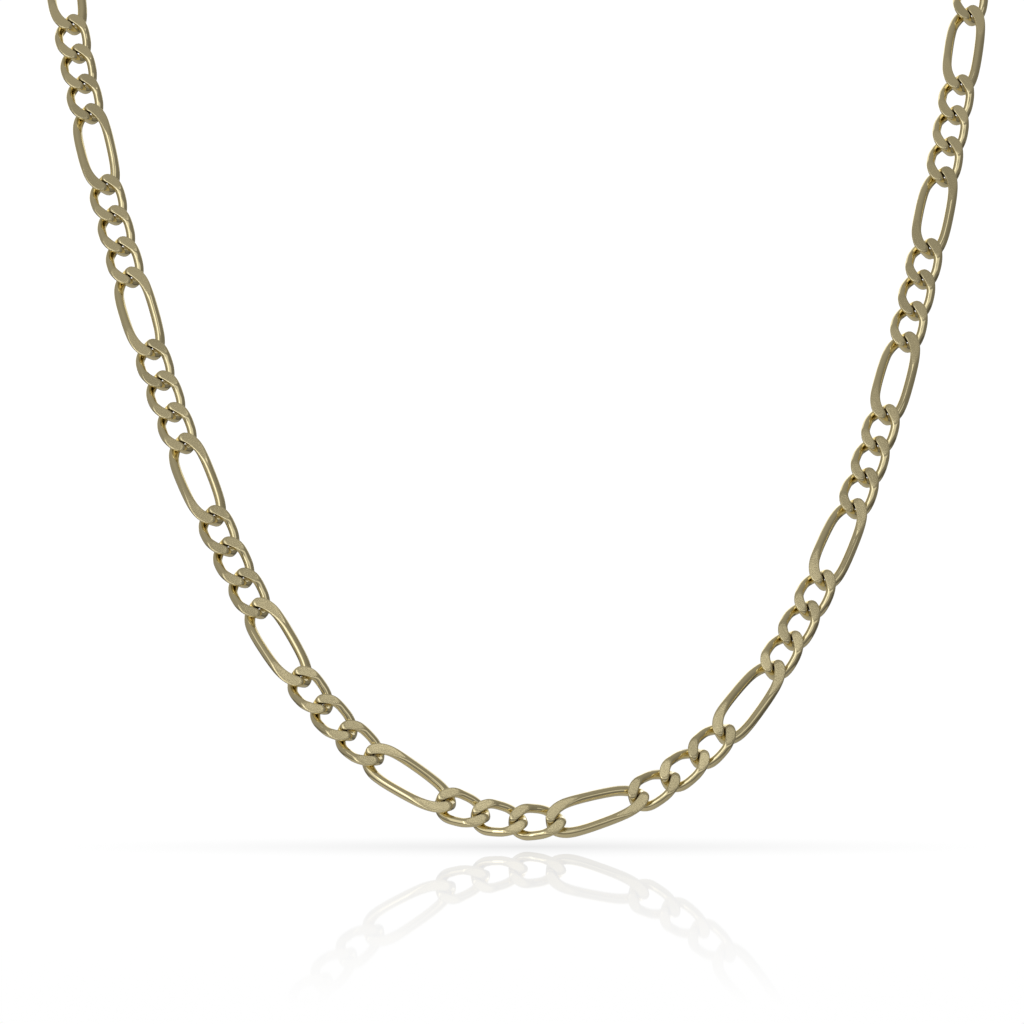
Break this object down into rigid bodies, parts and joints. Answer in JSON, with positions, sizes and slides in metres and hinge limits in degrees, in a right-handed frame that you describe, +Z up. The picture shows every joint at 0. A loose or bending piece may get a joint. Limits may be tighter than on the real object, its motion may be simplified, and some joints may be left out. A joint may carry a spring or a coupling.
{
  "type": "figaro chain necklace",
  "caption": "Flat-ground figaro chain necklace: short round links between long oval ones, closed behind the neck by jump rings and a claw clasp.",
  "frame": {"origin": "middle of the neck opening, where the necklace sits on the neck, below its back stretch", "axes": "+Z up along the neck, the front loop hangs toward -Y and -Z, +X to the right seen from the front"},
  "size_m": [0.1275, 0.1232, 0.1416],
  "materials": {
    "yellow_gold": "polished wire with satin ground faces"
  },
  "bodies": {
    "root": {"chain_left": "yellow_gold", "chain_right": "yellow_gold", "end_ring": "yellow_gold", "clasp_ring": "yellow_gold", "clasp": "yellow_gold"}
  },
  "joints": []
}
